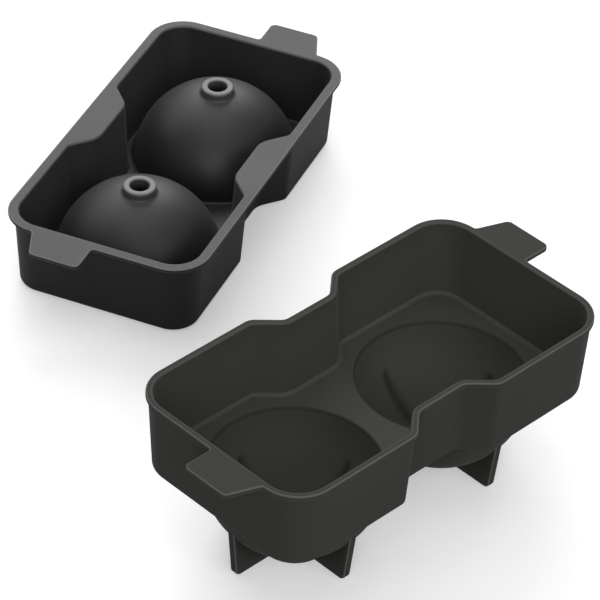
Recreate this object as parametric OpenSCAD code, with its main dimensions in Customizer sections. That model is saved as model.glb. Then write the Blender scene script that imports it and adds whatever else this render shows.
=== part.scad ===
// Two-part silicone mould for two ice balls, with its halves standing apart: a lower tray on
// crossed fins, and an upper tray with domes, filling nozzles and a flange.
// Lengths are in millimetres and angles in degrees.

/* [Ice balls] */
// Diameter of each ice ball
ball_d = 60; // [50:1:70]
// Gap between the two balls
ball_gap = 11; // [8:0.5:16]
// Thickness of the bowls and domes that shape the balls
bowl_t = 2; // [1.6:0.1:2.4]

/* [Walls and floor] */
// Width of the lower tray's floor past each ball, at the tray's ends
end_land = 6; // [5.5:0.1:12]
// Width of the lower tray's floor past each ball, at the tray's sides
side_land = 6.4; // [5.5:0.1:12]
// Depth of the lower tray, from its rim to its floor
depth = 30.5; // [26:0.5:40]
// Thickness of the walls
wall_t = 1.6; // [1.2:0.1:2.2]
// Thickness of the floors
floor_t = 2; // [1.6:0.1:3]
// How far the walls lean out between the floor and the rim
draft = 1.7; // [0.5:0.1:3]
// Radius of the lower tray's corners, inside at the floor
corner_r = 10.8; // [8:0.1:16]
// Radius of the fillet between the lower tray's walls and its floor
floor_fillet = 1.2; // [1:0.1:2]
// Radius of the rounded edge under the lower tray's walls
under_r = 2.6; // [1:0.1:4]
// Radius of the rounded edge under the upper tray's walls
upper_under_r = 2.4; // [2.4:0.1:3]
// Radius of the fillet between the upper tray's walls and its floor
upper_fillet = 0.8; // [0.4:0.1:1.2]

/* [Waist] */
// How far each long side steps in at the waist
waist_depth = 8.3; // [6:0.1:10]
// Length of the narrow stretch of the waist
waist_l = 24.5; // [18:0.5:30]
// Radius of the shoulders beside the waist, where they are tightest
shoulder_r = 0.3; // [0.2:0.1:1.5]
// Radius of the bends into the waist, where they are tightest
waist_r = 4.4; // [2:0.1:6]

/* [Rim and flange] */
// Width of the lower tray's rim
rim_w = 2.4; // [2.3:0.1:3.5]
// Height of the band around the lower tray's rim
rim_h = 1.8; // [1.2:0.1:3]
// Thickness of the upper tray's flange
flange_t = 1.6; // [1.2:0.1:2.5]
// How far the flange's edge stays inside the edge of the rim that it lies on
flange_inset = 0.4; // [0:0.1:1]
// Clearance between the walls of the two trays when they are put together
nest_gap = 0.4; // [0.2:0.1:0.8]

/* [Filling nozzles] */
// Diameter of the filling hole
fill_d = 7.4; // [5:0.1:9]
// Thickness of the nozzle's wall
nozzle_t = 2.8; // [1.6:0.1:3.2]
// Height of the nozzle's mouth over the top of its dome
nozzle_h = 2.6; // [1.6:0.1:6]
// Radius of the fillet between the nozzle and its dome
nozzle_fillet = 1.2; // [0.8:0.1:3.2]

/* [Pull tabs] */
// How far each tab reaches out past the rim or flange
tab_l = 12.5; // [8:0.5:16]
// Width of a tab at its outer end
tab_w = 19.5; // [14:0.5:20]
// How much wider a tab is at its root
tab_flare = 4.8; // [2:0.1:5]
// Thickness of the tabs
tab_t = 1.6; // [1.2:0.1:1.8]
// Distance of a tab's straight side from the tray's middle line
tab_gap = 0.6; // [0.3:0.1:2]
// Radius of a tab's outer corners
tab_r = 2.4; // [1:0.1:4]
// Radius of the fillets at a tab's root
tab_fillet = 1.4; // [1:0.1:4]

/* [Fins] */
// Thickness of the fins under each bowl
fin_t = 3; // [2:0.1:4]
// Height of each bowl over the surface that the fins stand on
fin_drop = 1.6; // [1:0.1:6]
// Length of each fin at its foot
fin_l = 54; // [40:0.5:56]
// How far each end of a fin leans out between its foot and the tray's floor
fin_lean = 3.6; // [1:0.1:4]
// Radius of the rounded ends of a fin's foot
fin_r = 2.4; // [1:0.1:4]

/* [How the halves stand] */
// Distance from the lower tray's middle to the upper one's, along the lower tray
apart_along = 63; // [30:1:90]
// Distance from the lower tray's middle to the upper one's, across the lower tray
apart_across = 165; // [150:1:200]
// How far the upper tray is turned from the lower one
upper_turn = 23; // [0:1:30]

/* [Hidden] */

// Smoothness of the round surfaces
round_fn = 96;
// Turn between neighbouring points of a rounded corner
corner_step = 10;
// Turn between neighbouring points of a rounded edge
edge_step = 30;
// Flat stretch of floor that the walls' section holds, for the floor to join
seam = 0.5;
// How far a tab's root line lies inside the rim's edge, and how far the tab reaches in past it
tab_sink = 0.3;
tab_bury = 0.8;
// How far a cut or a root runs past what it meets
past = 1;

ball_r = ball_d / 2;
shell_r = ball_r + bowl_t;
ball_x = (ball_d + ball_gap) / 2;
fill_r = fill_d / 2;
nozzle_r = fill_r + nozzle_t;
nozzle_top = shell_r + nozzle_h;
// Height of the nozzle's foot, which lies inside the ball's space
nozzle_foot = ball_r / 2;

floor_z = shell_r + fin_drop;
rim_z = floor_z + depth;
flange_z = depth + flange_t;

// The trays' outline is drawn along the inside of the lower tray at its floor. Everything else
// runs beside it, grown outwards by the values below.
inner_l2 = ball_x + ball_r + end_land;
inner_w2 = ball_r + side_land;
rim_grow = draft + rim_w;
flange_grow = rim_grow - flange_inset;
upper_grow = -nest_gap;
lower_floor_grow = -floor_fillet - seam;
upper_floor_grow = upper_grow - wall_t - upper_fillet - seam;
shoulder_at_0 = shoulder_r - min(lower_floor_grow, upper_floor_grow);
waist_at_0 = waist_r + rim_grow;

// The sides slope into the waist at this angle, and each bend there takes up this much of the
// straight stretches beside it. The walls from both ends overlap a little in the waist's middle.
slope_turn = 42.3012;
waist_run = waist_depth / tan(slope_turn);
shoulder_cut = shoulder_at_0 * tan(slope_turn / 2);
waist_cut = waist_at_0 * tan(slope_turn / 2);
waist_overlap = 0.5;

// Space that the turned upper tray takes on each side of its middle
function flat_reach(long, wide) = let(r = corner_r + flange_grow)
    (inner_l2 + flange_grow - r) * long + (inner_w2 + flange_grow - r) * wide + r;
tab_corner = 90 + atan2(tab_flare, tab_l + tab_sink);
tab_reach = (inner_l2 + flange_grow + tab_l - tab_r) * cos(upper_turn)
    + (tab_gap + tab_w - tab_r / tan(tab_corner / 2)) * sin(upper_turn) + tab_r;
upper_x2 = max(flat_reach(cos(upper_turn), sin(upper_turn)), tab_reach);
upper_y2 = flat_reach(sin(upper_turn), cos(upper_turn));
lower_x2 = inner_l2 + rim_grow + tab_l;
lower_y2 = inner_w2 + rim_grow;

// Middle of the area that the two halves take up, seen from the lower tray's middle
pair_mid = [
    (max(lower_x2, apart_along + upper_x2) + min(-lower_x2, apart_along - upper_x2)) / 2,
    (apart_across + upper_y2 - lower_y2) / 2
];

function unit(v) = v / norm(v);

// The bend [middle, radius, first angle, swept angle] that rounds corner b between a and c
function bend(a, b, c, r) = let(
    to_a = unit(a - b),
    to_c = unit(c - b),
    angle = acos(to_a * to_c),
    mid = b + unit(to_a + to_c) * r / sin(angle / 2),
    first = b + to_a * r / tan(angle / 2) - mid,
    left = cross(b - a, c - b) > 0
) [mid, r, atan2(first[1], first[0]), (left ? 1 : -1) * (180 - angle)];

// The bends of a closed outline whose corners are given as [x, y, radius]
function bends(corners) = let(n = len(corners)) [
    for (i = [0:n - 1]) let(
        a = corners[(i + n - 1) % n],
        b = corners[i],
        c = corners[(i + 1) % n]
    ) bend([a[0], a[1]], [b[0], b[1]], [c[0], c[1]], b[2])
];

// A point of a bend, a share of its way round, with its radius grown outwards
function on_bend(b, share, grow) = let(
    angle = b[2] + b[3] * share,
    r = b[1] + (b[3] > 0 ? grow : -grow)
) b[0] + r * [cos(angle), sin(angle)];

// A closed outline of points along the given bends, grown outwards
function along(list, grow) = [
    for (b = list) let(steps = b[1] > 0 ? ceil(abs(b[3]) / corner_step) : 1)
        for (i = [b[1] > 0 ? 0 : 1:steps]) on_bend(b, i / steps, grow)
];

// A half of a closed outline, and the same half turned by 180 degrees
function twice(half) = concat(half, [for (c = half) [-c[0], -c[1], c[2]]]);

// The trays' outline with its narrow waist
waisted = bends(twice([
    [inner_l2, -inner_w2, corner_r],
    [inner_l2, inner_w2, corner_r],
    [waist_l / 2 + waist_run, inner_w2, shoulder_at_0],
    [waist_l / 2, inner_w2 - waist_depth, waist_at_0],
    [-waist_l / 2, inner_w2 - waist_depth, waist_at_0],
    [-waist_l / 2 - waist_run, inner_w2, shoulder_at_0]
]));

// The flange's plain outline
plain = bends(twice([
    [inner_l2, -inner_w2, corner_r],
    [inner_l2, inner_w2, corner_r]
]));

// Points [growth, height] of a rounded edge of a section, from one angle to another
function edge(grow, z, r, from, to) = [
    for (a = [from:(to > from ? edge_step : -edge_step):to]) [grow + r * cos(a), z + r * sin(a)]
];

// Carries a section, drawn as [growth, height], along the steps [length, radius, turn] from the
// given step on. The way starts along Y, with the growth towards X. A turn to the left is positive,
// and a straight stretch has no turn.
module carried(steps, first = 0) {
    if (first < len(steps)) {
        length = steps[first][0];
        r = steps[first][1];
        turn = steps[first][2];
        bend_x = turn > 0 ? -r : r;
        if (turn == 0)
            translate([0, length, 0])
                rotate([90, 0, 0])
                    linear_extrude(length)
                        children();
        else
            translate([bend_x, 0, 0])
                rotate(turn > 0 ? 0 : 180)
                    rotate_extrude(angle = turn, $fn = round_fn)
                        translate([r, 0])
                            mirror([turn > 0 ? 0 : 1, 0])
                                children();
        translate([bend_x, length, 0])
            rotate(turn)
                translate([-bend_x, 0, 0])
                    carried(steps, first + 1)
                        children();
    }
}

// Carries a wall's section all the way round the trays' outline, from the middles of the ends
// into the waist
module around() {
    quarter = [
        [inner_w2 - corner_r, 0, 0],
        [0, corner_r, 90],
        [inner_l2 - corner_r - waist_l / 2 - waist_run - shoulder_cut, 0, 0],
        [0, shoulder_at_0, slope_turn],
        [waist_depth / sin(slope_turn) - shoulder_cut - waist_cut, 0, 0],
        [0, waist_at_0, -slope_turn],
        [waist_l / 2 - waist_cut + waist_overlap, 0, 0]
    ];
    for (turn = [0, 180], side = [0, 1])
        rotate(turn)
            mirror([0, side, 0])
                translate([inner_l2, 0, 0])
                    carried(quarter)
                        children();
}

// A flat tab on the side of positive Y, at the end that the given growth reaches
module tab(grow) {
    edge_x = inner_l2 + grow - tab_sink;
    root_x = edge_x - tab_bury;
    end_x = inner_l2 + grow + tab_l;
    root_y = tab_gap + tab_w + tab_flare;
    start_y = tab_gap - tab_fillet - past;
    outline = [
        [root_x, start_y, 0],
        [edge_x, start_y, 0],
        [edge_x, tab_gap, tab_fillet],
        [end_x, tab_gap, tab_r],
        [end_x, tab_gap + tab_w, tab_r],
        [edge_x, root_y, tab_fillet],
        [edge_x, root_y + tab_fillet, 0],
        [root_x, root_y + tab_fillet, 0]
    ];
    linear_extrude(tab_t)
        polygon(along(bends(outline), 0));
}

// One upright fin along X, from its foot up to the given height
module fin(top_z) {
    foot = fin_l / 2;
    outline = [
        [-foot, 0, fin_r],
        [foot, 0, fin_r],
        [foot + fin_lean, top_z, 0],
        [-foot - fin_lean, top_z, 0]
    ];
    rotate([90, 0, 0])
        translate([0, 0, -fin_t / 2])
            linear_extrude(fin_t)
                polygon(along(bends(outline), 0));
}

// The outside of one ball's shell, on one side of the floor plane
module half_shell(up) {
    buried = floor_t / 2;
    intersection() {
        sphere(r = shell_r, $fn = round_fn);
        translate([0, 0, up ? shell_r + buried : -shell_r - buried])
            cube(2 * shell_r, center = true);
    }
}

// The nozzle on top of one dome, with its foot inside the ball's space
module nozzle() {
    foot_r = nozzle_r + nozzle_fillet;
    dome_z = sqrt(shell_r * shell_r - foot_r * foot_r);
    rotate_extrude($fn = round_fn) {
        translate([0, nozzle_foot])
            square([nozzle_r, nozzle_top - nozzle_foot]);
        difference() {
            translate([0, nozzle_foot])
                square([foot_r, dome_z + nozzle_fillet - nozzle_foot]);
            translate([foot_r, dome_z + nozzle_fillet])
                circle(r = nozzle_fillet, $fn = round_fn);
        }
    }
}

// Section of the lower tray's wall, from its rounded underside up to the rim and down inside
module lower_section() {
    under = floor_z - floor_t;
    below_band = wall_t + draft * (1 - rim_h / depth);
    polygon(concat(
        edge(wall_t - under_r, under + under_r, under_r, -90, 0),
        [
            [below_band, rim_z - rim_h],
            [rim_grow, rim_z - rim_h],
            [rim_grow, rim_z],
            [draft, rim_z]
        ],
        edge(-floor_fillet, floor_z + floor_fillet, floor_fillet, 0, -90),
        [[lower_floor_grow, floor_z], [lower_floor_grow, under]]
    ));
}

// Section of the upper tray's wall, as the lower tray's
module upper_section() {
    outside = upper_grow + draft;
    inside = outside - wall_t;
    fillet_grow = upper_grow - wall_t - upper_fillet;
    polygon(concat(
        edge(upper_grow - upper_under_r, upper_under_r, upper_under_r, -90, 0),
        [[outside, depth], [outside, flange_z], [inside, flange_z]],
        edge(fillet_grow, floor_t + upper_fillet, upper_fillet, 0, -90),
        [[upper_floor_grow, floor_t], [upper_floor_grow, 0]]
    ));
}

module lower_tray() {
    color("#3b3f3b")
        translate([-pair_mid[0], -pair_mid[1], 0])
            difference() {
                union() {
                    around()
                        lower_section();
                    translate([0, 0, floor_z - floor_t])
                        linear_extrude(floor_t)
                            polygon(along(waisted, lower_floor_grow + seam / 2));
                    for (turn = [0, 180])
                        rotate(turn) {
                            translate([0, 0, rim_z - tab_t])
                                tab(rim_grow);
                            translate([ball_x, 0, floor_z])
                                half_shell(false);
                            translate([ball_x, 0, 0]) {
                                fin(floor_z - floor_t / 2);
                                rotate(90)
                                    fin(floor_z - floor_t / 2);
                            }
                        }
                }
                for (side = [-1, 1])
                    translate([side * ball_x, 0, floor_z])
                        sphere(r = ball_r, $fn = round_fn);
            }
}

module upper_tray() {
    color("#383838")
        translate([apart_along - pair_mid[0], apart_across - pair_mid[1], 0])
            rotate(upper_turn)
                difference() {
                    union() {
                        around()
                            upper_section();
                        linear_extrude(floor_t)
                            polygon(along(waisted, upper_floor_grow + seam / 2));
                        translate([0, 0, depth])
                            linear_extrude(flange_t)
                                difference() {
                                    polygon(along(plain, flange_grow));
                                    polygon(along(waisted, upper_grow + draft - wall_t / 2));
                                }
                        for (turn = [0, 180])
                            rotate(turn) {
                                translate([0, 0, flange_z - tab_t])
                                    mirror([0, 1, 0])
                                        tab(flange_grow);
                                translate([ball_x, 0, 0]) {
                                    half_shell(true);
                                    nozzle();
                                }
                            }
                    }
                    for (side = [-1, 1])
                        translate([side * ball_x, 0, 0]) {
                            sphere(r = ball_r, $fn = round_fn);
                            cylinder(h = nozzle_top + past, r = fill_r, $fn = round_fn);
                        }
                }
}

lower_tray();
upper_tray();
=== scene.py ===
"""Dresses the two halves of a soft rubber ice-ball mould and lights them in a plain studio."""

import logging
import math
from dataclasses import dataclass, field
from enum import Enum, IntEnum
from typing import Sequence

import bmesh
import bpy
from mathutils import Matrix, Vector
from mathutils.geometry import delaunay_2d_cdt


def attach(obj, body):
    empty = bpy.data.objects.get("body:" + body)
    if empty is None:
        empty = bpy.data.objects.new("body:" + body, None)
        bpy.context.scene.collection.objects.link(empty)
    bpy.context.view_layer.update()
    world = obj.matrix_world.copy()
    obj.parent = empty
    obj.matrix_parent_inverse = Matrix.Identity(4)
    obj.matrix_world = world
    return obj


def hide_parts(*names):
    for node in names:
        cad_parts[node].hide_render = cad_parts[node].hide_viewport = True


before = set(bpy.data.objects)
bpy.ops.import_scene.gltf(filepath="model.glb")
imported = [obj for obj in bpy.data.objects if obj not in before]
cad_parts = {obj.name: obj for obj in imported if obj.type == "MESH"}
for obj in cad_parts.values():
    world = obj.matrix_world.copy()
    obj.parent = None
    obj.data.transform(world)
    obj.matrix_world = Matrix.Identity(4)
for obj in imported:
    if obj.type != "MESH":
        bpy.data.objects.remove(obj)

logging.basicConfig(level=logging.INFO, format="%(message)s")
log = logging.getLogger("mould")

MM = 0.001
BODY = "root"
# Width of the flat strip beside a rounded edge, which keeps the big flat faces evenly shaded
GUARD = 0.05
# Attributes that mark rounded edges for a painted highlight, sink marks for painted shade in their
# grooves, and where light is painted inside the moulds and on the domes' and nozzles' tops
EDGE = "edge"
SINK = "sink"
PAINTED_LIGHT = "bloom"
# How sharply an edge bends outwards, per metre, where its painted highlight starts and where it is
# full
EDGE_BENDS = (1000.0, 1700.0)
# How far a point may lie from a surface, in mm, and still count as on it
NEAR = 0.02
# Steps round each bowl's outside, dome and nozzle, and in each quarter of a bowl's inside
ROUND_STEPS = 128
QUARTER_STEPS = 34

Pair = tuple[float, float]
Corner = tuple[float, float, float]
Face = tuple[int, ...]


class TabSide(Enum):
    """Side of the middle line on which the far end's pull tab lies."""

    LEFT = 1
    RIGHT = -1


class Steps(IntEnum):
    """Steps of an arc in a section. HIDDEN is a bowl's outside or a dome's inside."""

    TINY = 3
    SMALL = 4
    EDGE = 5
    FILLET = 6
    FLOOR = 8
    FOOT = 10
    HIDDEN = 36
    DOME = 40
    BOWL = 44


@dataclass(frozen=True)
class Bend:
    """One rounded corner of an outline, as an arc.

    Args:
        mid: Middle of the arc, in mm.
        radius: Its radius, in mm.
        first: The angle at which it starts, in radians.
        swept: The angle that it sweeps, positive to the left, in radians.
    """

    mid: Vector
    radius: float
    first: float
    swept: float

    @classmethod
    def between(cls, a: Corner, b: Corner, c: Corner) -> "Bend":
        """Rounds corner b between corners a and c.

        Args:
            a: The corner before, as x, y and radius.
            b: The corner that is rounded.
            c: The corner after.

        Returns:
            The arc that touches both sides.
        """
        pa, pb, pc = (Vector(p[:2]) for p in (a, b, c))
        to_a, to_c = (pa - pb).normalized(), (pc - pb).normalized()
        angle = to_a.angle(to_c)
        mid = pb + (to_a + to_c).normalized() * b[2] / math.sin(angle / 2)
        first = pb + to_a * b[2] / math.tan(angle / 2) - mid
        left = (pb - pa).cross(pc - pb) > 0
        swept = (math.pi - angle) * (1 if left else -1)
        return cls(mid, b[2], math.atan2(first.y, first.x), swept)

    def grown(self, grow: float) -> "Bend":
        """The same bend of an outline that is grown outwards."""
        radius = self.radius + (grow if self.swept > 0 else -grow)
        return Bend(self.mid, radius, self.first, self.swept)

    def point(self, share: float) -> Vector:
        """The point a share of the way round the bend."""
        angle = self.first + self.swept * share
        return self.mid + self.radius * Vector((math.cos(angle), math.sin(angle)))


@dataclass(frozen=True)
class Outline:
    """A closed outline of bends joined by straight sides.

    Args:
        bends: The bends, in order to the left.
        step: Largest angle between neighbouring points of a bend, in degrees.
        stretch: Largest distance between neighbouring points of a straight side, in mm.
    """

    bends: tuple[Bend, ...]
    step: float = 5.0
    stretch: float = 9.0

    @classmethod
    def of(cls, corners: Sequence[Corner]) -> "Outline":
        """Makes the outline of the given corners.

        Args:
            corners: The corners in order to the left, each as x, y and radius.

        Returns:
            The outline.
        """
        n = len(corners)
        bends = (Bend.between(corners[i - 1], corners[i], corners[(i + 1) % n]) for i in range(n))
        return cls(tuple(bends))

    def points(self, grow: float = 0.0) -> list[Vector]:
        """Points along the outline, the same number at any growth.

        Args:
            grow: How far the outline is grown outwards, in mm.

        Returns:
            The points, in order to the left.
        """
        out: list[Vector] = []
        for bend, follower in zip(self.bends, self.bends[1:] + self.bends[:1]):
            steps = max(4, math.ceil(abs(math.degrees(bend.swept)) / self.step))
            here, there = bend.grown(grow), follower.grown(grow)
            out += [here.point(i / steps) for i in range(steps + 1)]
            gaps = max(1, math.ceil((follower.point(0) - bend.point(1)).length / self.stretch))
            out += [here.point(1).lerp(there.point(0), i / gaps) for i in range(1, gaps)]
        return out


def arc(middle: Pair, radius: float, start: float, end: float, steps: int) -> list[Pair]:
    """Points of a rounded edge of a section.

    Args:
        middle: Middle of the arc, as distance outwards and height.
        radius: Its radius.
        start: Angle of the first point, in degrees.
        end: Angle of the last point, in degrees.
        steps: Number of steps from the first to the last.

    Returns:
        The points, as distance outwards and height.
    """
    angles = (math.radians(start + (end - start) * i / steps) for i in range(steps + 1))
    return [(middle[0] + radius * math.cos(a), middle[1] + radius * math.sin(a)) for a in angles]


def edge_round(base: float, top: float, low: float, high: float) -> list[Pair]:
    """The section round the outer edge of a rim or flange and its tabs, from below.

    Args:
        base: Height of its underside.
        top: Height of its top.
        low: Radius of its lower edge.
        high: Radius of its upper edge.

    Returns:
        The points, as growth of the outline and height.
    """
    return [
        (-low - GUARD, base),
        *arc((-low, base + low), low, -90, 0, Steps.SMALL),
        *arc((-high, top - high), high, 0, 90, Steps.EDGE),
        (-high - GUARD, top),
    ]


def full_turn(steps: int) -> list[float]:
    """Angles of a full turn, in radians, evenly spaced."""
    return [math.tau * i / steps for i in range(steps)]


def quadrant_angles(steps: int) -> list[float]:
    """Angles of a full turn, in radians, that crowd towards the four axes."""
    quarter = [math.pi / 4 * (1 - math.cos(math.pi * i / steps)) for i in range(steps)]
    return [q * math.pi / 2 + a for q in range(4) for a in quarter]


@dataclass
class Shell:
    """Collects the rings, strips and flat fills of one closed moulding, in mm."""

    points: list[Vector] = field(default_factory=list)
    faces: list[Face] = field(default_factory=list)
    marks: dict[str, dict[int, float]] = field(
        default_factory=lambda: {EDGE: {}, SINK: {}, PAINTED_LIGHT: {}}
    )

    def ring(self, points: Sequence[Vector]) -> list[int]:
        """Adds points.

        Args:
            points: The points, in mm.

        Returns:
            Their numbers.
        """
        start = len(self.points)
        self.points += [Vector(p) for p in points]
        return list(range(start, len(self.points)))

    def strip(self, a: Sequence[int], b: Sequence[int]) -> None:
        """Joins two closed rings of the same length by a strip of faces."""
        n = len(a)
        self.faces += [(a[i], a[(i + 1) % n], b[(i + 1) % n], b[i]) for i in range(n)]

    def skin(self, rings: Sequence[Sequence[int]]) -> None:
        """Joins each ring to the next one."""
        for a, b in zip(rings, rings[1:]):
            self.strip(a, b)

    def sweep(self, outline: Outline, section: Sequence[Pair]) -> tuple[list[int], list[int]]:
        """Carries an open section round an outline.

        Args:
            outline: The outline that it follows.
            section: Its points, as growth of the outline and height.

        Returns:
            The first and the last ring.
        """
        rings = [
            self.ring([Vector((*p, z)) for p in outline.points(grow)]) for grow, z in section
        ]
        self.skin(rings)
        return rings[0], rings[-1]

    def spin(
        self, x: float, section: Sequence[Pair], angles: Sequence[float]
    ) -> tuple[list[int], list[int]]:
        """Turns an open section round an upright axis.

        Args:
            x: Place of the axis along the tray.
            section: Its points, as radius and height. A last radius of 0 closes it in a pole.
            angles: The angles of the points on each ring.

        Returns:
            The first and the last ring.
        """
        closed = section[-1][0] == 0
        body = section[:-1] if closed else section
        rings = [
            self.ring([Vector((x + r * math.cos(a), r * math.sin(a), z)) for a in angles])
            for r, z in body
        ]
        self.skin(rings)
        if closed:
            pole = self.ring([Vector((x, 0, section[-1][1]))])[0]
            last = rings[-1]
            self.faces += [(last[i], last[(i + 1) % len(last)], pole) for i in range(len(last))]
        return rings[0], rings[-1]

    def fill(self, outer: Sequence[int], holes: Sequence[Sequence[int]]) -> None:
        """Fills the flat area between a ring and the rings inside it.

        Args:
            outer: The outer ring's points.
            holes: The points of each ring inside it.
        """
        numbers: list[int] = []
        edges: list[tuple[int, int]] = []
        for loop in (outer, *holes):
            start, n = len(numbers), len(loop)
            numbers += loop
            edges += [(start + i, start + (i + 1) % n) for i in range(n)]
        flat = [self.points[i].xy for i in numbers]
        _, _, made, origins, _, _ = delaunay_2d_cdt(flat, edges, [], 0, 1e-6, True)
        faces = [tuple(numbers[origins[i][0]] for i in face) for face in made]
        rings = {frozenset((numbers[i], numbers[j])) for i, j in edges}
        self.faces += self._enclosed(faces, rings)

    @staticmethod
    def _enclosed(faces: Sequence[Face], rings: set[frozenset[int]]) -> list[Face]:
        """Picks the faces that an odd number of rings parts from the outside.

        Args:
            faces: Faces that fill the whole area within and around the rings.
            rings: The sides that make up the rings.

        Returns:
            The faces between the outer ring and the rings inside it.
        """
        sides = [[frozenset(pair) for pair in zip(face, face[1:] + face[:1])] for face in faces]
        beside: dict[frozenset[int], list[int]] = {}
        for i, around in enumerate(sides):
            for side in around:
                beside.setdefault(side, []).append(i)
        inside: dict[int, bool] = {}
        waiting = [(users[0], side in rings) for side, users in beside.items() if len(users) == 1]
        while waiting:
            i, odd = waiting.pop()
            if i in inside:
                continue
            inside[i] = odd
            waiting += [(j, odd != (side in rings)) for side in sides[i] for j in beside[side]]
        return [face for i, face in enumerate(faces) if inside[i]]

    def piece(self, name: str, place: Matrix) -> bpy.types.Object:
        """Makes the object, with its place in its mesh.

        Args:
            name: The object's name.
            place: Its place in the row frame, in mm.

        Returns:
            The object, in metres, with its faces pointing outwards.
        """
        mesh = bpy.data.meshes.new(name)
        mesh.from_pydata([tuple((place @ p) * MM) for p in self.points], [], self.faces)
        bm = bmesh.new()
        bm.from_mesh(mesh)
        bmesh.ops.recalc_face_normals(bm, faces=bm.faces)
        open_edges = sum(not e.is_manifold for e in bm.edges)
        volume = bm.calc_volume(signed=True)
        if volume < 0:
            bmesh.ops.reverse_faces(bm, faces=bm.faces)
        self._mark_edge_highlights(bm)
        for mark, values in self.marks.items():
            layer = bm.verts.layers.float.new(mark)
            bm.verts.ensure_lookup_table()
            for i, value in values.items():
                bm.verts[i][layer] = value
        for face in bm.faces:
            face.smooth = True
        bm.to_mesh(mesh)
        bm.free()
        counts = (name, len(mesh.polygons), open_edges, abs(volume) * 1e6)
        log.info("%s: %d faces, %d open edges, %.1f cm3", *counts)
        piece = bpy.data.objects.new(name, mesh)
        bpy.context.scene.collection.objects.link(piece)
        return piece

    def _mark_edge_highlights(self, bm: bmesh.types.BMesh) -> None:
        """Marks each point by how sharply the surface bends outwards there, from 0 to 1, for a
        painted highlight on rounded edges.

        Args:
            bm: The finished faces, with their points in the shell's order.
        """
        marks = self.marks[EDGE]
        start, full = EDGE_BENDS
        for edge in bm.edges:
            if len(edge.link_faces) != 2:
                continue
            a, b = (face.calc_center_median() for face in edge.link_faces)
            bend = edge.calc_face_angle_signed(0.0) / max((a - b).length, 1e-9)
            mark = min(1.0, max(0.0, (bend - start) / (full - start)))
            for vert in edge.verts:
                marks[vert.index] = max(marks.get(vert.index, 0.0), mark)


class Tree:
    """Adds nodes and links to a node tree."""

    def __init__(self, tree: bpy.types.NodeTree) -> None:
        """Keeps the tree and empties it."""
        self.tree = tree
        tree.nodes.clear()

    def add(self, kind: str, **settings: object) -> bpy.types.Node:
        """Adds a node.

        Args:
            kind: The kind of node.
            **settings: Its properties, by name.

        Returns:
            The node.
        """
        node = self.tree.nodes.new(kind)
        for key, value in settings.items():
            setattr(node, key, value)
        return node

    def link(self, source: bpy.types.NodeSocket, target: bpy.types.NodeSocket) -> None:
        """Links two sockets."""
        self.tree.links.new(source, target)

    def put(self, value: object, target: bpy.types.NodeSocket) -> None:
        """Links a socket to a target, or sets the target to a plain value.

        Args:
            value: A socket, or a number or colour.
            target: The input that takes it.
        """
        if isinstance(value, bpy.types.NodeSocket):
            self.link(value, target)
        else:
            target.default_value = value

    def maths(self, operation: str, a: object, b: object) -> bpy.types.NodeSocket:
        """Adds a Math node.

        Args:
            operation: What it does with its two values.
            a: The first value, a socket or a number.
            b: The second value, a socket or a number.

        Returns:
            Its output.
        """
        node = self.add("ShaderNodeMath", operation=operation)
        for socket, value in zip(node.inputs, (a, b)):
            self.put(value, socket)
        return node.outputs[0]

    def mix(self, share: object, a: object, b: object) -> bpy.types.NodeSocket:
        """Adds a node that mixes two colours.

        Args:
            share: The share of the second colour, a socket or a number.
            a: The first colour.
            b: The second colour.

        Returns:
            The mixed colour.
        """
        node = self.add("ShaderNodeMix", data_type="RGBA")
        for name, value in (("Factor", share), ("A", a), ("B", b)):
            self.put(value, node.inputs[name])
        return node.outputs["Result"]

    def noise(
        self, place: bpy.types.NodeSocket, size: object, detail: float
    ) -> bpy.types.NodeSocket:
        """Adds noise.

        Args:
            place: The point that it is taken at.
            size: Its size, in metres, a socket or a number.
            detail: How many finer layers it has.

        Returns:
            The noise, around 0.5.
        """
        node = self.add("ShaderNodeTexNoise")
        node.inputs["Detail"].default_value = detail
        self.link(place, node.inputs["Vector"])
        self.put(self.maths("DIVIDE", 1.0, size), node.inputs["Scale"])
        return node.outputs["Fac"]


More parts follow.
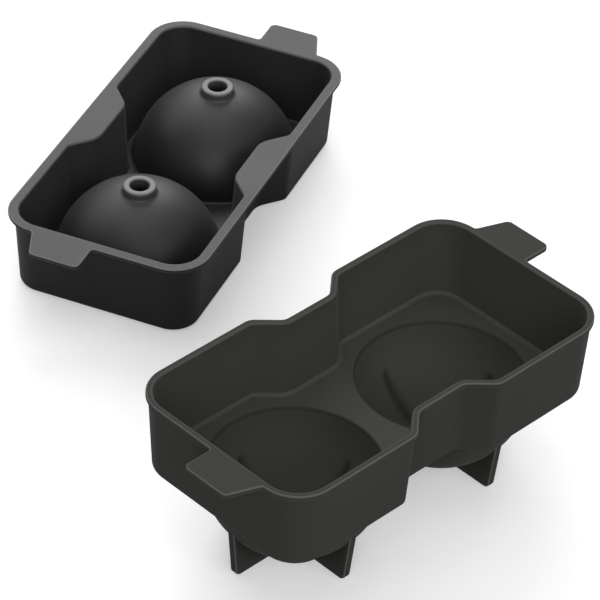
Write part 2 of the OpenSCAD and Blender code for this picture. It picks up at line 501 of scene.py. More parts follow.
@dataclass(frozen=True)
class RubberSurface:
    """The shared surface of moulded rubber: mottled colour, a painted highlight on rounded edges,
    painted shade in sink marks, painted light inside the moulds, fine grain and haze.

    Args:
        haze_start: How strong the mottle is where the haze starts.
        haze_full: How strong the mottle is where the haze is full.
        mottle_detail: How many finer layers the mottle has.
        grain_detail: How many finer layers the grain has.
        sink_shade_share: How much of the painted shade the sink marks take.
        sink_shade_colour: The painted shade in the sink marks' grooves, linear.
        grain_roughens: How much the grain changes the roughness.
        mottle_roughens: How much the mottle changes the roughness.
        mottle_swell: The mottle's height as a share of the grain's.
    """

    haze_start: float = 0.35
    haze_full: float = 0.7
    mottle_detail: float = 4.0
    grain_detail: float = 2.0
    sink_shade_share: float = 0.5
    sink_shade_colour: tuple[float, float, float] = (0.004, 0.004, 0.004)
    grain_roughens: float = 0.12
    mottle_roughens: float = 0.1
    mottle_swell: float = 0.5

    @staticmethod
    def _group() -> bpy.types.NodeTree:
        """Makes the empty group with its inputs and outputs.

        Returns:
            The node group.
        """
        group = bpy.data.node_groups.new("moulded rubber surface", "ShaderNodeTree")
        colours = ("Colour", "Haze colour", "Edge highlight colour", "Painted light colour")
        numbers = ("Edge", "Sink", "Painted light", "Haze", "Mottle size", "Grain size", "Roughness")
        for names, kind in ((colours, "NodeSocketColor"), (numbers, "NodeSocketFloat")):
            for name in names:
                group.interface.new_socket(name=name, in_out="INPUT", socket_type=kind)
        for name, kind in (
            ("Colour", "NodeSocketColor"),
            ("Roughness", "NodeSocketFloat"),
            ("Height", "NodeSocketFloat"),
        ):
            group.interface.new_socket(name=name, in_out="OUTPUT", socket_type=kind)
        return group

    def make(self) -> bpy.types.NodeTree:
        """Builds the surface.

        Returns:
            The node group.
        """
        group = self._group()
        t = Tree(group)
        given, put = t.add("NodeGroupInput").outputs, t.add("NodeGroupOutput").inputs
        place = t.add("ShaderNodeTexCoord").outputs["Object"]
        mottle = t.noise(place, given["Mottle size"], self.mottle_detail)
        grain = t.noise(place, given["Grain size"], self.grain_detail)
        haze = t.add("ShaderNodeMapRange")
        haze.inputs["From Min"].default_value = self.haze_start
        haze.inputs["From Max"].default_value = self.haze_full
        t.link(mottle, haze.inputs["Value"])
        hazed = t.maths("MULTIPLY", haze.outputs["Result"], given["Haze"])
        # Painted shade in the sink marks' grooves, painted light inside the moulds and a painted
        # highlight on rounded edges all go into the colour
        sunk = t.maths("MULTIPLY", given["Sink"], self.sink_shade_share)
        colour = t.mix(hazed, given["Colour"], given["Haze colour"])
        colour = t.mix(given["Painted light"], colour, given["Painted light colour"])
        colour = t.mix(given["Edge"], colour, given["Edge highlight colour"])
        t.link(t.mix(sunk, colour, (*self.sink_shade_colour, 1)), put["Colour"])
        rough = given["Roughness"]
        for noise, share in ((grain, self.grain_roughens), (mottle, self.mottle_roughens)):
            change = t.maths("MULTIPLY", t.maths("SUBTRACT", noise, 0.5), share)
            rough = t.maths("ADD", rough, change)
        t.link(rough, put["Roughness"])
        swell = t.maths("MULTIPLY", mottle, self.mottle_swell)
        t.link(t.maths("ADD", grain, swell), put["Height"])
        return group


@dataclass(frozen=True)
class RubberFinish:
    """Matt silicone rubber as it comes out of its mould.

    Args:
        name: The material's name.
        colour: Its colour, linear.
        haze_colour: Colour of the faint haze on it, linear.
        edge_highlight_colour: Colour of the painted highlight on its thin rounded edges, linear.
        painted_light_colour: Colour of the painted light inside the moulds and on the domes' and
            nozzles' tops, linear.
        haze: How strong the haze is, from 0 to 1.
        roughness: How rough it is, from 0 to 1.
        grain_size: Size of its grain, in metres.
        mottle_size: Size of the haze's clouds, in metres.
        grain_depth: Depth of its grain, in metres.
        bump: How strongly the grain shows in its shading, from 0 to 1.
        shine: How strongly it reflects, where 0.5 is plain plastic.
        sheen: How strong the soft glow at its outline is.
        sheen_roughness: How wide that glow is, from 0 to 1.
    """

    name: str
    colour: tuple[float, float, float]
    haze_colour: tuple[float, float, float]
    edge_highlight_colour: tuple[float, float, float]
    painted_light_colour: tuple[float, float, float]
    haze: float = 0.3
    roughness: float = 0.5
    grain_size: float = 0.0005
    mottle_size: float = 0.025
    grain_depth: float = 0.00001
    bump: float = 0.5
    shine: float = 0.35
    sheen: float = 0.05
    sheen_roughness: float = 0.5

    def make(self, surface: bpy.types.NodeTree) -> bpy.types.Material:
        """Makes the material.

        Args:
            surface: The shared surface of moulded rubber.

        Returns:
            The material.
        """
        material = bpy.data.materials.new(self.name)
        material.use_nodes = True
        t = Tree(material.node_tree)
        shader, out = t.add("ShaderNodeBsdfPrincipled"), t.add("ShaderNodeOutputMaterial")
        group = t.add("ShaderNodeGroup", node_tree=surface)
        for name, value in (
            ("Colour", (*self.colour, 1)),
            ("Haze colour", (*self.haze_colour, 1)),
            ("Edge highlight colour", (*self.edge_highlight_colour, 1)),
            ("Painted light colour", (*self.painted_light_colour, 1)),
            ("Haze", self.haze),
            ("Mottle size", self.mottle_size),
            ("Grain size", self.grain_size),
            ("Roughness", self.roughness),
        ):
            group.inputs[name].default_value = value
        shader.inputs["Specular IOR Level"].default_value = self.shine
        shader.inputs["Sheen Weight"].default_value = self.sheen
        shader.inputs["Sheen Roughness"].default_value = self.sheen_roughness
        for name, mark in (("Edge", EDGE), ("Sink", SINK), ("Painted light", PAINTED_LIGHT)):
            marks = t.add("ShaderNodeAttribute", attribute_name=mark)
            t.link(marks.outputs["Fac"], group.inputs[name])
        bump = t.add("ShaderNodeBump")
        bump.inputs["Strength"].default_value = self.bump
        bump.inputs["Distance"].default_value = self.grain_depth
        t.link(group.outputs["Colour"], shader.inputs["Base Color"])
        t.link(group.outputs["Roughness"], shader.inputs["Roughness"])
        t.link(group.outputs["Height"], bump.inputs["Height"])
        t.link(bump.outputs["Normal"], shader.inputs["Normal"])
        t.link(shader.outputs["BSDF"], out.inputs["Surface"])
        return material


def dress(piece: bpy.types.Object, material: bpy.types.Material) -> None:
    """Gives a piece its material.

    Args:
        piece: The piece.
        material: Its material.
    """
    piece.data.materials.clear()
    piece.data.materials.append(material)


@dataclass(frozen=True)
class Pattern:
    """What both halves share: the balls, the outline and the pull tabs, in mm."""

    ball_r: float = 30.0
    bowl_t: float = 2.0
    ball_x: float = 35.5
    inner_l2: float = 71.5
    inner_w2: float = 36.4
    corner_r: float = 10.8
    waist_depth: float = 8.3
    waist_l2: float = 12.25
    waist_slope: float = 42.3012
    waist_r: float = 8.5
    draft: float = 1.7
    depth: float = 30.5
    floor_t: float = 2.0
    wall_t: float = 1.6
    tab_l: float = 12.5
    tab_w: float = 19.5
    tab_flare: float = 4.8
    tab_gap: float = 0.6
    tab_r: float = 2.4
    tab_fillet: float = 1.4
    tab_root_r: float = 1.4

    @property
    def shell_r(self) -> float:
        """Radius of the outside of a bowl or dome."""
        return self.ball_r + self.bowl_t

    def waisted(self, shoulder_r: float) -> Outline:
        """The outline with its narrow waist.

        Args:
            shoulder_r: Radius of the corners beside the waist.

        Returns:
            The outline, at the foot of the lower tray's inner wall.
        """
        run = self.waist_depth / math.tan(math.radians(self.waist_slope))
        half = [
            (self.inner_l2, -self.inner_w2, self.corner_r),
            (self.inner_l2, self.inner_w2, self.corner_r),
            (self.waist_l2 + run, self.inner_w2, shoulder_r),
            (self.waist_l2, self.inner_w2 - self.waist_depth, self.waist_r),
            (-self.waist_l2, self.inner_w2 - self.waist_depth, self.waist_r),
            (-self.waist_l2 - run, self.inner_w2, shoulder_r),
        ]
        return Outline.of(half + [(-x, -y, r) for x, y, r in half])

    def plain(self) -> Outline:
        """The outline without its waist."""
        ends = ((1, -1), (1, 1), (-1, 1), (-1, -1))
        return Outline.of([(x * self.inner_l2, y * self.inner_w2, self.corner_r) for x, y in ends])

    def tabbed(self, base: Outline, grow: float, side: TabSide) -> Outline:
        """The edge of a rim or flange with its two pull tabs.

        Args:
            base: The outline that the edge runs beside.
            grow: The edge's distance outside it.
            side: The side of the far end's tab.

        Returns:
            The outline at the edge itself.
        """
        edge_x = self.inner_l2 + grow
        end_x = edge_x + self.tab_l
        out_y = self.tab_gap + self.tab_w
        root_y = out_y + self.tab_flare
        s = side.value
        # The first and last corner only give the sides beside the tab their directions
        corners = [
            (edge_x, s * -self.inner_w2, 0.0),
            (edge_x, s * self.tab_gap, self.tab_fillet),
            (end_x, s * self.tab_gap, self.tab_r),
            (end_x, s * out_y, self.tab_r),
            (edge_x, s * root_y, self.tab_root_r),
            (edge_x, s * self.inner_w2, 0.0),
        ]
        if side is TabSide.RIGHT:
            corners.reverse()
        tab = [Bend.between(*corners[i - 1:i + 2]) for i in range(1, 5)]
        turned = [Bend(-b.mid, b.radius, b.first + math.pi, b.swept) for b in tab]
        bends = [b.grown(grow) for b in base.bends]
        middle = len(bends) // 2
        return Outline((bends[0], *tab, *bends[1:middle + 1], *turned, *bends[middle + 1:]))


@dataclass(frozen=True)
class LowerTray:
    """The half with the bowls, which stands on crossed fins."""

    pattern: Pattern
    at: Pair = (-31.5114, -93.1412)
    floor_z: float = 33.6
    shoulder_r: float = 1.4
    rim_grow: float = 4.1
    rim_h: float = 1.8
    inner_shoulder_r: float = 3.1
    floor_fillet: float = 1.5
    # Painted highlight on the floor fillet, and where along the fillet it peaks
    fillet_highlight: float = 1.0
    fillet_highlight_peak: float = 0.75
    under_r: float = 2.6
    mouth_r: float = 1.1
    bowl_fillet: float = 1.0
    rim_in_r: float = 0.75
    rim_out_r: float = 0.5
    rim_under_r: float = 0.3
    band_fillet: float = 0.2
    groove_depth: float = 0.7
    groove_width: float = 1.3
    groove_spread: float = 0.09
    groove_top: float = 13.2
    groove_run: float = 2.0
    # Painted light on the floor and walls, at the bowls' mouths, high in the bowls and deep in the
    # bowls
    floor_painted_light: float = 0.5
    mouth_painted_light: float = 0.05
    wall_painted_light: float = 0.7
    bowl_painted_light: float = 1.0

    @property
    def place(self) -> Matrix:
        """The tray's place in the row frame, in mm."""
        return Matrix.Translation((*self.at, 0))

    def inner_section(self) -> list[Pair]:
        """From the floor up the inside of the wall to the rim.

        Returns:
            The points, as growth of the outline and height.
        """
        p = self.pattern
        top = self.floor_z + p.depth
        fillet, edge = self.floor_fillet, self.rim_in_r
        grow = p.draft * (1 - edge / p.depth)
        return [
            (-fillet - GUARD, self.floor_z),
            *arc((-fillet, self.floor_z + fillet), fillet, -90, 0, Steps.FLOOR),
            (grow, top - edge),
            *arc((grow + edge, top - edge), edge, 180, 90, Steps.EDGE)[1:],
            (grow + edge + GUARD, top),
        ]

    def outer_section(self) -> list[Pair]:
        """From the underside up the outside of the wall to the band under the rim.

        Returns:
            The points, as growth of the outline and height.
        """
        p = self.pattern
        under = self.floor_z - p.floor_t
        band = self.floor_z + p.depth - self.rim_h
        r, fillet = self.under_r, self.band_fillet
        foot = (p.wall_t - r, under + r)
        high = p.wall_t + p.draft * (1 - self.rim_h / p.depth)
        return [
            (foot[0] - GUARD, under),
            *arc(foot, r, -90, 0, Steps.FOOT),
            *arc((high + fillet, band - fillet), fillet, 180, 90, Steps.TINY),
            (high + fillet + GUARD, band),
        ]

    def edge_section(self) -> list[Pair]:
        """Round the outer edge of the rim and tabs, from below."""
        top = self.floor_z + self.pattern.depth
        return edge_round(top - self.rim_h, top, self.rim_under_r, self.rim_out_r)

    def inside_bowl(self) -> list[Pair]:
        """From the floor over the mouth's rounded edge into the bowl.

        Returns:
            The points, as radius and height.
        """
        r, mouth = self.pattern.ball_r, self.mouth_r
        start = -math.degrees(math.asin(mouth / r))
        bowl = arc((0, self.floor_z), r, start, -90, Steps.BOWL)
        return [
            (r + mouth + GUARD, self.floor_z),
            *arc((r + mouth, self.floor_z - mouth), mouth, 90, 180, Steps.EDGE)[:-1],
            *bowl[:-1],
            (0, self.floor_z - r),
        ]

    def outside_bowl(self) -> list[Pair]:
        """From the underside over a fillet down the outside of the bowl.

        Returns:
            The points, as radius and height.
        """
        p, fillet = self.pattern, self.bowl_fillet
        under = self.floor_z - p.floor_t
        drop = p.floor_t + fillet
        reach = p.shell_r + fillet
        middle = (math.sqrt(reach**2 - drop**2), under - fillet)
        turn = math.degrees(math.atan2(drop, middle[0]))
        bowl = arc((0, self.floor_z), p.shell_r, -turn, -90, Steps.HIDDEN)
        return [
            (middle[0] + GUARD, under),
            *arc(middle, fillet, 90, 180 - turn, Steps.FILLET)[:-1],
            *bowl[:-1],
            (0, self.floor_z - p.shell_r),
        ]

    def press_grooves(self, shell: Shell, first: int) -> None:
        """Sinks shallow marks into the bowls along the fins behind them, and marks them for
        painted shade in their grooves.

        Args:
            shell: The shell that holds the bowls.
            first: The first point of the bowls' insides.
        """
        r = self.pattern.ball_r
        for i in range(first, len(shell.points)):
            p = shell.points[i]
            middle = Vector((math.copysign(self.pattern.ball_x, p.x), 0, self.floor_z))
            out = p - middle
            if abs(out.length - r) > NEAR:
                continue
            across = min(abs(out.x), abs(out.y))
            low = min(1.0, max(0.0, (-out.z - self.groove_top) / self.groove_run))
            width = self.groove_width + self.groove_spread * max(0.0, -out.z - self.groove_top)
            sink = low * low * (3 - 2 * low) * math.exp(-(across / width) ** 2)
            shell.points[i] = middle + out * (1 + self.groove_depth * sink / r)
            # The sink mark also paints shade into the groove
            shell.marks[SINK][i] = sink

    def paint_fillet_highlight(self, shell: Shell, around: int) -> None:
        """Paints a highlight on the fillet round the floor, most beside the wall.

        Args:
            shell: The shell, which starts with the inside of the wall.
            around: The number of points on each of its rings.
        """
        peak = self.fillet_highlight_peak
        for i in range(around * (Steps.FLOOR + 2)):
            share = max(0.0, (i // around - 1) / Steps.FLOOR)
            shell.marks[EDGE][i] = self.fillet_highlight * min(share / peak, (1 - share) / (1 - peak))

    def spread_painted_light(self, shell: Shell, numbers: range) -> None:
        """Paints light on the wall, more towards the floor, hardly on the bowls' mouths, and most
        in the bowls.

        Args:
            shell: The shell that holds the inside.
            numbers: The numbers of the inside's points.
        """
        for i in numbers:
            height = shell.points[i].z - self.floor_z
            if height > -NEAR:
                bloom = self.floor_painted_light * (1 - height / self.pattern.depth)
            elif height > -self.mouth_r:
                bloom = self.mouth_painted_light
            else:
                low = min(1.0, -height / self.groove_top)
                bloom = self.wall_painted_light + (self.bowl_painted_light - self.wall_painted_light) * low
            shell.marks[PAINTED_LIGHT][i] = bloom

    def build(self) -> bpy.types.Object:
        """Builds the tray without its fins.

        Returns:
            The tray's body.
        """
        p, shell = self.pattern, Shell()
        waisted = p.waisted(self.shoulder_r)
        edge = p.tabbed(waisted, self.rim_grow, TabSide.LEFT)
        floor_top, rim_in = shell.sweep(p.waisted(self.inner_shoulder_r), self.inner_section())
        self.paint_fillet_highlight(shell, len(floor_top))
        self.spread_painted_light(shell, range(len(shell.points)))
        floor_under, band = shell.sweep(waisted, self.outer_section())
        edge_under, edge_top = shell.sweep(edge, self.edge_section())
        shell.fill(edge_top, [rim_in])
        shell.fill(edge_under, [band])
        fine, plain = quadrant_angles(QUARTER_STEPS), full_turn(ROUND_STEPS)
        outside = [shell.spin(s * p.ball_x, self.outside_bowl(), plain)[0] for s in (-1, 1)]
        shell.fill(floor_under, outside)
        first = len(shell.points)
        mouths = [shell.spin(s * p.ball_x, self.inside_bowl(), fine)[0] for s in (-1, 1)]
        self.press_grooves(shell, first)
        self.spread_painted_light(shell, range(first, len(shell.points)))
        shell.fill(floor_top, mouths)
        return shell.piece("lower_tray_body", self.place)


@dataclass(frozen=True)
class Fins:
    """The crossed fins under the bowls, one fin repeated by Geometry Nodes."""

    tray: LowerTray
    thick: float = 3.0
    foot_l2: float = 27.0
    lean: float = 3.6
    foot_r: float = 2.4
    edge_r: float = 0.5
    foot_steps: int = 14
    corner_steps: int = 8
    end_steps: int = 8
    fitting_rounds: int = 60

    def profile(self) -> tuple[list[Vector], list[Vector], list[Vector]]:
        """The fin's free edge, the way inwards at each of its points, and its buried top.

        Returns:
            Points along the free edge, unit vectors, and points inside the bowl's wall.
        """
        p = self.tray.pattern
        rise = self.tray.floor_z - p.floor_t / 2
        radius = p.shell_r - p.bowl_t / 2
        foot, top = self.foot_l2, self.foot_l2 + self.lean
        height = rise
        for _ in range(self.fitting_rounds):
            x = foot + self.lean * height / rise
            height = self.tray.floor_z - math.sqrt(max(0.0, radius**2 - x**2))
        tip = Vector((foot + self.lean * height / rise, height))
        corner = Bend.between((-top, 0, 0), (foot, 0, self.foot_r), (tip.x, tip.y, 0))
        half = [corner.point(0) * (i / self.foot_steps) for i in range(self.foot_steps)]
        half += [corner.point(i / self.corner_steps) for i in range(self.corner_steps + 1)]
        ends = range(1, self.end_steps + 1)
        half += [corner.point(1).lerp(tip, i / self.end_steps) for i in ends]
        ways = []
        for i in range(len(half)):
            before, after = half[max(0, i - 1)], half[min(len(half) - 1, i + 1)]
            along = (after - before).normalized()
            ways.append(Vector((-along.y, along.x)))
        end = math.asin(tip.x / radius)
        angles = [end * i / (len(half) - 1) for i in range(len(half))]
        middle = Vector((0, self.tray.floor_z))
        tops = [Vector((math.sin(a), -math.cos(a))) * radius + middle for a in angles]
        return self._whole(half), self._whole(ways), self._whole(tops)

    @staticmethod
    def _whole(half: list[Vector]) -> list[Vector]:
        """Sets the mirror image of half a line before it, from end to end."""
        return [Vector((-v.x, v.y)) for v in reversed(half[1:])] + half

    def fin(self) -> bpy.types.Object:
        """Builds one fin along X, under a bowl at the origin.

        Returns:
            The fin.
        """
        shell, half = Shell(), self.thick / 2
        rounding = arc((0, 0), self.edge_r, 0, 90, Steps.TINY)
        flank = [(half - self.edge_r + x, self.edge_r - y) for x, y in rounding]
        section = [(-v, w) for v, w in flank] + [(v, w) for v, w in reversed(flank)]
        rings = []
        for q, way, top in zip(*self.profile()):
            free = [Vector((q.x + way.x * w, v, q.y + way.y * w)) for v, w in section]
            left, right = (Vector((top.x, side * half, top.y)) for side in (-1, 1))
            rings.append(shell.ring([left, *free, right]))
        shell.skin(rings)
        shell.faces += [tuple(rings[0]), tuple(rings[-1])]
        return shell.piece("lower_tray_fin", Matrix.Identity(4))

    def tree(self) -> bpy.types.NodeTree:
        """Builds the tree that sets a cross of two fins under each bowl.

        Returns:
            The node tree, which takes the fin, the bowls' distance and middle, and the rubber.
        """
        tree = bpy.data.node_groups.new("fin crosses", "GeometryNodeTree")
        for name, kind in (
            ("Geometry", "NodeSocketGeometry"),
            ("Bowl distance", "NodeSocketFloat"),
            ("Middle", "NodeSocketVector"),
            ("Rubber", "NodeSocketMaterial"),
        ):
            tree.interface.new_socket(name=name, in_out="INPUT", socket_type=kind)
        tree.interface.new_socket(
            name="Geometry", in_out="OUTPUT", socket_type="NodeSocketGeometry"
        )
        t = Tree(tree)
        given, put = t.add("NodeGroupInput").outputs, t.add("NodeGroupOutput").inputs
        span, back = t.add("ShaderNodeCombineXYZ"), t.add("ShaderNodeCombineXYZ")
        start = t.add("ShaderNodeVectorMath", operation="SUBTRACT")
        line = t.add("GeometryNodeMeshLine")
        t.link(given["Bowl distance"], span.inputs["X"])
        t.link(t.maths("MULTIPLY", given["Bowl distance"], 0.5), back.inputs["X"])
        t.link(given["Middle"], start.inputs[0])
        t.link(back.outputs[0], start.inputs[1])
        line.inputs["Count"].default_value = 2
        t.link(start.outputs[0], line.inputs["Start Location"])
        t.link(span.outputs[0], line.inputs["Offset"])
        join = t.add("GeometryNodeJoinGeometry")
        for turn in (0.0, math.pi / 2):
            fins = t.add("GeometryNodeInstanceOnPoints")
            fins.inputs["Rotation"].default_value = (0, 0, turn)
            t.link(line.outputs["Mesh"], fins.inputs["Points"])
            t.link(given["Geometry"], fins.inputs["Instance"])
            t.link(fins.outputs["Instances"], join.inputs["Geometry"])
        real, paint = t.add("GeometryNodeRealizeInstances"), t.add("GeometryNodeSetMaterial")
        t.link(join.outputs["Geometry"], real.inputs["Geometry"])
        t.link(real.outputs["Geometry"], paint.inputs["Geometry"])
        t.link(given["Rubber"], paint.inputs["Material"])
        t.link(paint.outputs["Geometry"], put["Geometry"])
        return tree

    def build(self, material: bpy.types.Material) -> bpy.types.Object:
        """Builds both crosses as one piece.

        Args:
            material: The fins' rubber.

        Returns:
            The piece, as a plain mesh.
        """
        maker, tree = self.fin(), self.tree()
        wanted = {
            "Bowl distance": 2 * self.tray.pattern.ball_x * MM,
            "Middle": (self.tray.at[0] * MM, self.tray.at[1] * MM, 0.0),
            "Rubber": material,
        }
        modifier = maker.modifiers.new("crosses", "NODES")
        modifier.node_group = tree
        for item in tree.interface.items_tree:
            if item.in_out == "INPUT" and item.name in wanted:
                modifier[item.identifier] = wanted[item.name]
        graph = bpy.context.evaluated_depsgraph_get()
        mesh = bpy.data.meshes.new_from_object(maker.evaluated_get(graph))
        piece = bpy.data.objects.new("lower_tray_fins", mesh)
        bpy.context.scene.collection.objects.link(piece)
        bpy.data.objects.remove(maker)
        return piece


@dataclass(frozen=True)
class UpperTray:
    """The half with the domes and filling nozzles, which lies inside the lower one in use."""

    pattern: Pattern
    at: Pair = (31.4886, 71.8588)
    turn: float = 23.0
    nest_gap: float = 0.4
    shoulder_r: float = 3.6
    flange_grow: float = 3.7
    flange_t: float = 1.6
    under_r: float = 2.4
    floor_fillet: float = 0.8
    dome_fillet: float = 1.1
    flange_fillet: float = 0.5
    edge_in_r: float = 0.8
    edge_out_r: float = 0.45
    edge_under_r: float = 0.45
    mouth_r: float = 0.5
    fill_r: float = 3.7
    nozzle_r: float = 6.35
    nozzle_top: float = 34.6
    nozzle_fillet: float = 1.1
    nozzle_edge_r: float = 0.9
    bore_edge_r: float = 0.5
    bore_lip: float = 0.1
    # Painted light on the inner walls, painted highlights on the domes' and nozzles' tops, and how
    # deep the nozzles' painted tops reach
    wall_painted_light: float = 0.08
    dome_painted_light: float = 0.15
    dome_painted_light_power: int = 6
    nozzle_painted_light: float = 0.65
    highlighted_depth: float = 0.3

    @property
    def place(self) -> Matrix:
        """The tray's place in the row frame, in mm."""
        return Matrix.Translation((*self.at, 0)) @ Matrix.Rotation(math.radians(self.turn), 4, "Z")

    def outer_section(self) -> list[Pair]:
        """From the underside up the outside of the wall to the flange.

        Returns:
            The points, as growth of the outline and height.
        """
        p = self.pattern
        r, fillet = self.under_r, self.flange_fillet
        foot = (-self.nest_gap - r, r)
        high = p.draft - self.nest_gap
        return [
            (foot[0] - GUARD, 0.0),
            *arc(foot, r, -90, 0, Steps.FOOT),
            *arc((high + fillet, p.depth - fillet), fillet, 180, 90, Steps.SMALL),
            (high + fillet + GUARD, p.depth),
        ]

    def edge_section(self) -> list[Pair]:
        """Round the outer edge of the flange and tabs, from below."""
        base = self.pattern.depth
        return edge_round(base, base + self.flange_t, self.edge_under_r, self.edge_out_r)

    def inner_section(self) -> list[Pair]:
        """From the floor up the inside of the wall to the flange's inner edge.

        Returns:
            The points, as growth of the outline and height.
        """
        p = self.pattern
        fillet, edge = self.floor_fillet, self.edge_in_r
        top = p.depth + self.flange_t
        foot = -self.nest_gap - p.wall_t - fillet
        high = p.draft - self.nest_gap - p.wall_t
        return [
            (foot - GUARD, p.floor_t),
            *arc((foot, p.floor_t + fillet), fillet, -90, 0, Steps.FILLET),
            (high, top - edge),
            *arc((high + edge, top - edge), edge, 180, 90, Steps.EDGE)[1:],
            (high + edge + GUARD, top),
        ]

    def dome_section(self) -> list[Pair]:
        """From the floor over the dome and nozzle, through the hole and down inside to the mouth.

        Returns:
            The points, as radius and height.
        """
        p = self.pattern
        foot, fillet = self.dome_fillet, self.nozzle_fillet
        edge, bore, mouth = self.nozzle_edge_r, self.bore_edge_r, self.mouth_r
        rise = p.floor_t + foot
        low = (math.sqrt((p.shell_r + foot) ** 2 - rise**2), rise)
        low_turn = math.degrees(math.atan2(rise, low[0]))
        side = self.nozzle_r + fillet
        high = (side, math.sqrt((p.shell_r + fillet) ** 2 - side**2))
        high_turn = math.degrees(math.atan2(high[1], high[0]))
        top = self.nozzle_top
        inside = math.degrees(math.acos((self.fill_r + bore) / p.ball_r))
        mouth_turn = math.degrees(math.asin(mouth / p.ball_r))
        return [
            (low[0] + GUARD, p.floor_t),
            *arc(low, foot, -90, -180 + low_turn, Steps.EDGE)[:-1],
            *arc((0, 0), p.shell_r, low_turn, high_turn, Steps.DOME)[:-1],
            *arc(high, fillet, high_turn - 180, -180, Steps.FILLET),
            *arc((self.nozzle_r - edge, top - edge), edge, 0, 90, Steps.EDGE),
            *arc((self.fill_r + bore, top - bore), bore, 90, 180, Steps.SMALL),
            (self.fill_r, p.ball_r + self.bore_lip),
            (self.fill_r + self.bore_lip, p.ball_r - 2 * self.bore_lip),
            *arc((0, 0), p.ball_r, inside, mouth_turn, Steps.HIDDEN),
            *arc((p.ball_r + mouth, mouth), mouth, 180, 270, Steps.SMALL)[1:],
            (p.ball_r + mouth + GUARD, 0.0),
        ]

    def spread_painted_light(self, shell: Shell, walls: range, domes: range) -> None:
        """Paints light on the inner walls, a faint highlight on the domes' tops, and the brightest
        painted highlight on the nozzles' tops.

        Args:
            shell: The shell that holds them.
            walls: The numbers of the inner walls' points.
            domes: The numbers of the domes' points.
        """
        painted_lights = shell.marks[PAINTED_LIGHT]
        for i in walls:
            painted_lights[i] = self.wall_painted_light if shell.points[i].z < self.pattern.depth else 0.0
        for i in domes:
            height = max(0.0, shell.points[i].z) / self.nozzle_top
            highlighted = shell.points[i].z > self.nozzle_top - self.highlighted_depth
            bloom = self.dome_painted_light * height**self.dome_painted_light_power
            painted_lights[i] = self.nozzle_painted_light if highlighted else bloom

    def build(self) -> bpy.types.Object:
        """Builds the tray.

        Returns:
            The tray's body.
        """
        p, shell = self.pattern, Shell()
        waisted = p.waisted(self.shoulder_r)
        edge = p.tabbed(p.plain(), self.flange_grow, TabSide.RIGHT)
        underside, flange_in = shell.sweep(waisted, self.outer_section())
        edge_under, edge_top = shell.sweep(edge, self.edge_section())
        walls = len(shell.points)
        floor_top, inner_edge = shell.sweep(waisted, self.inner_section())
        first = len(shell.points)
        shell.fill(edge_under, [flange_in])
        shell.fill(edge_top, [inner_edge])
        angles = full_turn(ROUND_STEPS)
        domes = [shell.spin(s * p.ball_x, self.dome_section(), angles) for s in (-1, 1)]
        self.spread_painted_light(shell, range(walls, first), range(first, len(shell.points)))
        shell.fill(floor_top, [d[0] for d in domes])
        shell.fill(underside, [d[1] for d in domes])
        return shell.piece("upper_tray_body", self.place)


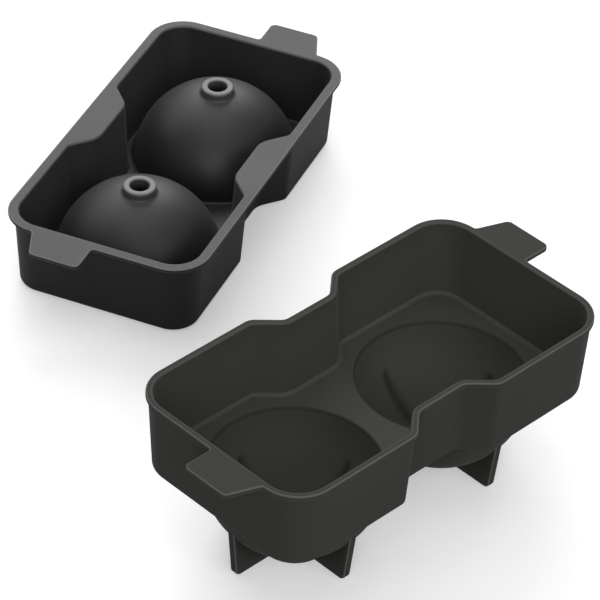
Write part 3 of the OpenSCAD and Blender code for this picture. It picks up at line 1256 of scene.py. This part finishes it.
@dataclass(frozen=True)
class Studio:
    """The floor, the lights and the camera.

    Args:
        aim: The point the camera looks at, in mm.
        azimuth: The camera's way round, in degrees: 0 looks along +Y.
        elevation: Its height above the horizon, in degrees.
        roll: How far its right side is lifted, in degrees.
        distance: Its distance from the aim, in mm.
        lens: Its focal length, in mm on a 36 mm sensor.
        floor_l2: Half the floor's length, in metres.
        floor_colour: The floor's colour as the camera sees it, linear.
        floor_glow: The floor's own glow, which only the camera sees.
        bounce_colour: The floor's colour as it throws light on the mould, linear.
        room_tone: How much light the room throws at the mould.
        light_away: The lights' distance, in metres.
        light_l: The lights' width and height, in metres.
    """

    aim: tuple[float, float, float]
    azimuth: float = -45.784
    elevation: float = 38.354
    roll: float = 2.816
    distance: float = 1339.52
    lens: float = 216.0
    floor_l2: float = 4.0
    floor_colour: tuple[float, float, float] = (0.8, 0.8, 0.8)
    floor_glow: float = 0.3
    bounce_colour: tuple[float, float, float] = (0.3, 0.3, 0.3)
    room_tone: float = 0.28
    light_away: float = 1.6
    light_l: float = 1.1

    def camera(self) -> None:
        """Sets up the camera at the photograph's angle."""
        data = bpy.data.cameras.new("camera")
        data.lens, data.sensor_width = self.lens, 36.0
        data.clip_start, data.clip_end = 0.05, 20.0
        data.dof.use_dof = False
        camera = bpy.data.objects.new("camera", data)
        bpy.context.scene.collection.objects.link(camera)
        a, e, r = (math.radians(v) for v in (self.azimuth, self.elevation, self.roll))
        back = Vector((math.sin(a) * math.cos(e), -math.cos(a) * math.cos(e), math.sin(e)))
        level = Vector((math.cos(a), math.sin(a), 0))
        upright = back.cross(level)
        right = level * math.cos(r) + upright * math.sin(r)
        up = upright * math.cos(r) - level * math.sin(r)
        spot = (Vector(self.aim) + back * self.distance) * MM
        turned = Matrix((right, up, back)).transposed().to_4x4()
        camera.matrix_world = Matrix.Translation(spot) @ turned
        bpy.context.scene.camera = camera

    def floor(self) -> None:
        """Lays the plain pale floor."""
        half = self.floor_l2
        mesh = bpy.data.meshes.new("floor")
        corners = [(x * half, y * half, 0) for x, y in ((-1, -1), (1, -1), (1, 1), (-1, 1))]
        mesh.from_pydata(corners, [], [(0, 1, 2, 3)])
        floor = bpy.data.objects.new("floor", mesh)
        bpy.context.scene.collection.objects.link(floor)
        material = bpy.data.materials.new("pale floor")
        material.use_nodes = True
        t = Tree(material.node_tree)
        lit, bounced = t.add("ShaderNodeBsdfDiffuse"), t.add("ShaderNodeBsdfDiffuse")
        glow, seen = t.add("ShaderNodeEmission"), t.add("ShaderNodeAddShader")
        path, mix = t.add("ShaderNodeLightPath"), t.add("ShaderNodeMixShader")
        out = t.add("ShaderNodeOutputMaterial")
        lit.inputs["Color"].default_value = (*self.floor_colour, 1)
        bounced.inputs["Color"].default_value = (*self.bounce_colour, 1)
        glow.inputs["Strength"].default_value = self.floor_glow
        t.link(path.outputs["Is Camera Ray"], mix.inputs["Fac"])
        t.link(bounced.outputs["BSDF"], mix.inputs[1])
        t.link(lit.outputs["BSDF"], seen.inputs[0])
        t.link(glow.outputs["Emission"], seen.inputs[1])
        t.link(seen.outputs["Shader"], mix.inputs[2])
        t.link(mix.outputs["Shader"], out.inputs["Surface"])
        mesh.materials.append(material)

    def light(self, name: str, azimuth: float, elevation: float, watts: float) -> None:
        """Hangs a soft light that faces the mould.

        Args:
            name: The light's name.
            azimuth: Its way round from behind the camera, in degrees.
            elevation: Its height above the horizon, in degrees.
            watts: Its power.
        """
        data = bpy.data.lights.new(name, "AREA")
        data.shape, data.energy = "RECTANGLE", watts
        data.size = data.size_y = self.light_l
        lamp = bpy.data.objects.new(name, data)
        a, e = math.radians(self.azimuth + azimuth), math.radians(elevation)
        way = Vector((math.sin(a) * math.cos(e), -math.cos(a) * math.cos(e), math.sin(e)))
        lamp.location = way * self.light_away
        lamp.rotation_euler = way.to_track_quat("Z", "Y").to_euler()
        bpy.context.scene.collection.objects.link(lamp)

    def lights(self) -> None:
        """Hangs the lights and sets the room's own brightness."""
        for name, azimuth, elevation, watts in (
            ("back softbox", 180, 36, 15),
            ("back left softbox", 235, 45, 5.5),
            ("top softbox", 0, 88, 5),
            ("front softbox", 0, 25, 11.5),
            ("right softbox", 50, 25, 8),
        ):
            self.light(name, azimuth, elevation, watts)
        world = bpy.data.worlds.new("room")
        world.use_nodes = True
        t = Tree(world.node_tree)
        path, walls = t.add("ShaderNodeLightPath"), t.add("ShaderNodeBackground")
        out = t.add("ShaderNodeOutputWorld")
        walls.inputs["Color"].default_value = (1, 1, 1, 1)
        tone = t.maths("MAXIMUM", path.outputs["Is Camera Ray"], self.room_tone)
        t.link(tone, walls.inputs["Strength"])
        t.link(walls.outputs["Background"], out.inputs["Surface"])
        bpy.context.scene.world = world
        bpy.context.scene.view_settings.view_transform = "Standard"


def main() -> None:
    """Builds the halves, dresses them, and sets up the studio."""
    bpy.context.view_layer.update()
    surface = RubberSurface().make()
    # The two halves are one silicone: the lower's paler colours and the upper's darker ones are
    # painted light and shade for the light on each half
    lit_lower_rubber = RubberFinish(
        "lower rubber",
        colour=(0.033, 0.0352, 0.0305),
        haze_colour=(0.042, 0.0445, 0.039),
        edge_highlight_colour=(0.085, 0.089, 0.081),
        painted_light_colour=(0.09, 0.092, 0.082),
        grain_size=0.0008,
        grain_depth=0.00003,
        shine=0.03,
    ).make(surface)
    shaded_upper_rubber = RubberFinish(
        "upper rubber",
        colour=(0.01, 0.01, 0.01),
        haze_colour=(0.016, 0.016, 0.016),
        edge_highlight_colour=(0.12, 0.12, 0.12),
        painted_light_colour=(0.22, 0.22, 0.22),
        grain_size=0.001,
        grain_depth=0.00004,
        shine=0.45,
    ).make(surface)
    pattern = Pattern()
    lower, upper = LowerTray(pattern), UpperTray(pattern)
    lower_body, upper_body = lower.build(), upper.build()
    fins = Fins(lower).build(lit_lower_rubber)
    for piece, material, slot in (
        (lower_body, lit_lower_rubber, "lower_tray"),
        (fins, lit_lower_rubber, "lower_tray"),
        (upper_body, shaded_upper_rubber, "upper_tray"),
    ):
        dress(piece, material)
        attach(piece, BODY)
        log.info("dressed %s with %s", piece.name, material.name)
    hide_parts("lower_tray")
    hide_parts("lower_tray")
    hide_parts("upper_tray")
    studio = Studio(aim=(27.120, -0.2, 0.0))
    studio.camera()
    studio.floor()
    studio.lights()


if __name__ == "__main__":
    main()
